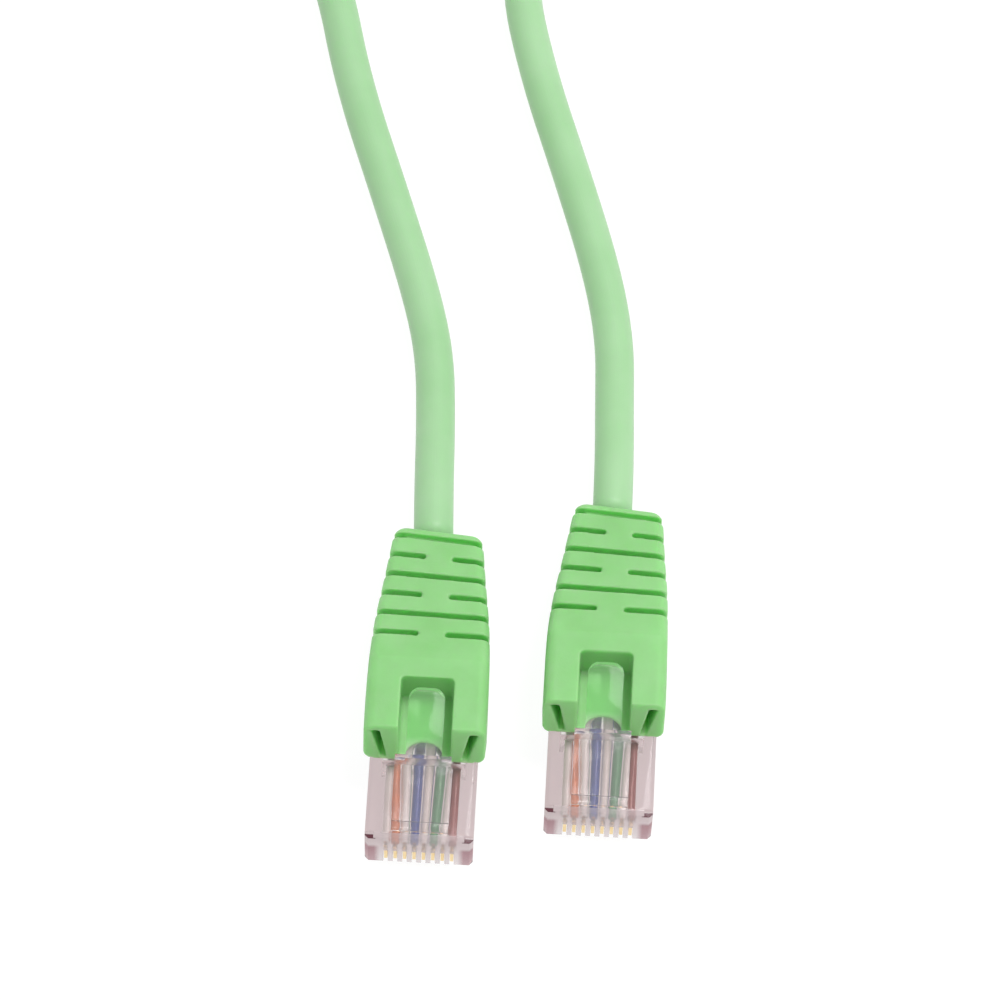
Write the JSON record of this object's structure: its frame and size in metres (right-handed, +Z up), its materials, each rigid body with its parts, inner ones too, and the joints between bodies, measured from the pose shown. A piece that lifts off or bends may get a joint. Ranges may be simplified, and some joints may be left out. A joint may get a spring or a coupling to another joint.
{
  "type": "ethernet patch cable",
  "caption": "Round cable with a clear locking modular plug in a ribbed, hooded boot at each end, its spare length folded into a tied hank.",
  "frame": {"origin": "on the surface that the cable lies on, under the middle of the box of the two plugs and boots", "axes": "+Z up, towards the latches; +Y from the plugs' noses towards the cord; +X towards plug b"},
  "size_m": [0.052, 0.2257, 0.0126],
  "materials": {
    "clear_plastic": "clear polycarbonate, polished",
    "boot": "soft moulded PVC, satin",
    "jacket": "extruded PVC, satin",
    "gold": "gold plate, polished",
    "copper": "bare copper",
    "tie": "plastic-covered wire tie, satin",
    "insulation_white_orange": "polyolefin insulation",
    "insulation_orange": "polyolefin insulation",
    "insulation_white_green": "polyolefin insulation",
    "insulation_blue": "polyolefin insulation",
    "insulation_white_blue": "polyolefin insulation",
    "insulation_green": "polyolefin insulation",
    "insulation_white_brown": "polyolefin insulation",
    "insulation_brown": "polyolefin insulation"
  },
  "bodies": {
    "root": {"plug_housing_a": "clear_plastic", "strain_bar_a": "clear_plastic", "boot_a": "boot", "jacket_end_a": "jacket", "copper_cores_a": "copper", "contact_1_a": "gold", "wire_1_a": "insulation_white_orange", "contact_2_a": "gold", "wire_2_a": "insulation_orange", "contact_3_a": "gold", "wire_3_a": "insulation_white_green", "contact_4_a": "gold", "wire_4_a": "insulation_blue", "contact_5_a": "gold", "wire_5_a": "insulation_white_blue", "contact_6_a": "gold", "wire_6_a": "insulation_green", "contact_7_a": "gold", "wire_7_a": "insulation_white_brown", "contact_8_a": "gold", "wire_8_a": "insulation_brown", "plug_housing_b": "clear_plastic", "strain_bar_b": "clear_plastic", "boot_b": "boot", "jacket_end_b": "jacket", "copper_cores_b": "copper", "contact_1_b": "gold", "wire_1_b": "insulation_white_orange", "contact_2_b": "gold", "wire_2_b": "insulation_orange", "contact_3_b": "gold", "wire_3_b": "insulation_white_green", "contact_4_b": "gold", "wire_4_b": "insulation_blue", "contact_5_b": "gold", "wire_5_b": "insulation_white_blue", "contact_6_b": "gold", "wire_6_b": "insulation_green", "contact_7_b": "gold", "wire_7_b": "insulation_white_brown", "contact_8_b": "gold", "wire_8_b": "insulation_brown", "cable_run_a": "jacket", "cable_run_b": "jacket", "cable_hank": "jacket", "cable_tie": "tie"},
    "latch_a": {"latch_a": "clear_plastic"},
    "latch_b": {"latch_b": "clear_plastic"}
  },
  "joints": [
    {"name": "latch_a_press", "type": "hinge", "parent": "root", "child": "latch_a", "pos_m": [-0.00955, -0.01982, 0.0076], "axis": [1, 0, 0], "range_deg": [-8, 0], "stiffness_Nm_per_rad": 0.2},
    {"name": "latch_b_press", "type": "hinge", "parent": "root", "child": "latch_b", "pos_m": [0.00955, -0.01557, 0.0076], "axis": [1, 0, 0], "range_deg": [-8, 0], "stiffness_Nm_per_rad": 0.2}
  ]
}
